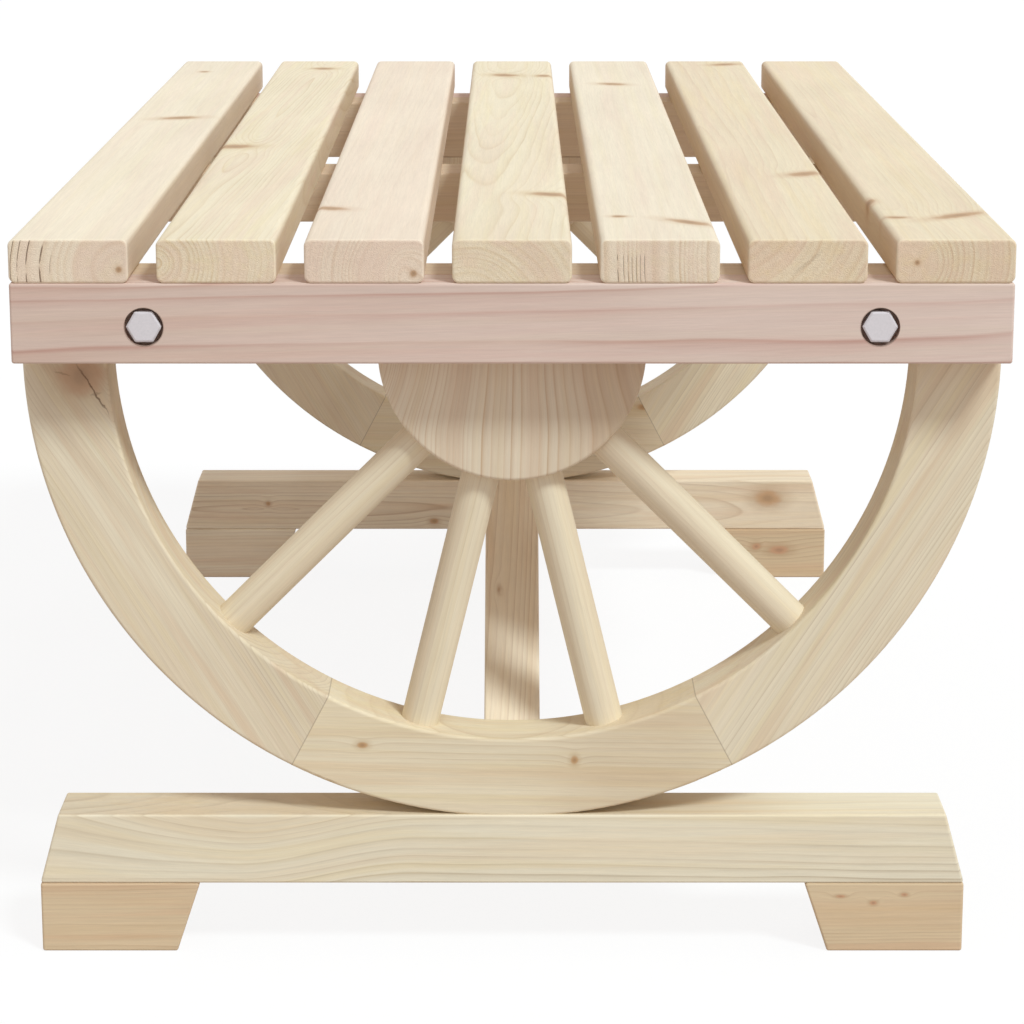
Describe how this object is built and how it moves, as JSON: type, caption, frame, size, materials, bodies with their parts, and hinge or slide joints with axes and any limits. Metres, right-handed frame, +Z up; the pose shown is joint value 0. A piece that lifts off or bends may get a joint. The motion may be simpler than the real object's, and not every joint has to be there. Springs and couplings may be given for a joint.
{
  "type": "wagon wheel table",
  "caption": "Low slatted wooden table whose top stands on half wagon wheels with hubs, turned spokes and bevelled feet.",
  "frame": {"origin": "on the floor, under the middle of the table top's outline", "axes": "+X across the table, +Y along the slats from the front end to the rear end, +Z up"},
  "size_m": [0.55, 0.9, 0.4254],
  "materials": {
    "slat_wood": "sanded bare softwood",
    "outer_beam_wood": "planed bare softwood, pinkish",
    "frame_wood": "planed bare softwood",
    "wheel_wood": "sanded bare softwood",
    "spoke_wood": "turned bare softwood",
    "foot_wood": "planed bare softwood",
    "zinc_steel": "zinc plated",
    "screw_steel": "yellow zinc plated",
    "dowel_wood": "turned beech"
  },
  "bodies": {
    "root": {"slat_1": "slat_wood", "slat_2": "slat_wood", "slat_3": "slat_wood", "slat_4": "slat_wood", "slat_5": "slat_wood", "slat_6": "slat_wood", "slat_7": "slat_wood", "front_outer_beam": "outer_beam_wood", "front_inner_beam": "frame_wood", "front_rim_left": "wheel_wood", "front_rim_bottom": "wheel_wood", "front_rim_right": "wheel_wood", "front_hub": "wheel_wood", "front_spoke_1": "spoke_wood", "front_spoke_2": "spoke_wood", "front_spoke_3": "spoke_wood", "front_spoke_4": "spoke_wood", "front_foot_beam": "foot_wood", "front_foot_block_left": "foot_wood", "front_foot_block_right": "foot_wood", "front_brace": "frame_wood", "rear_outer_beam": "outer_beam_wood", "rear_inner_beam": "frame_wood", "rear_rim_left": "wheel_wood", "rear_rim_bottom": "wheel_wood", "rear_rim_right": "wheel_wood", "rear_hub": "wheel_wood", "rear_spoke_1": "spoke_wood", "rear_spoke_2": "spoke_wood", "rear_spoke_3": "spoke_wood", "rear_spoke_4": "spoke_wood", "rear_foot_beam": "foot_wood", "rear_foot_block_left": "foot_wood", "rear_foot_block_right": "foot_wood", "rear_brace": "frame_wood", "middle_beam": "frame_wood", "hex_bolts": "zinc_steel", "washers": "zinc_steel", "nuts": "zinc_steel", "slat_screws": "screw_steel", "middle_beam_screws": "screw_steel", "wheel_screws": "screw_steel", "foot_screws": "screw_steel", "block_screws": "screw_steel", "brace_screws": "screw_steel", "rim_dowels": "dowel_wood"}
  },
  "joints": []
}
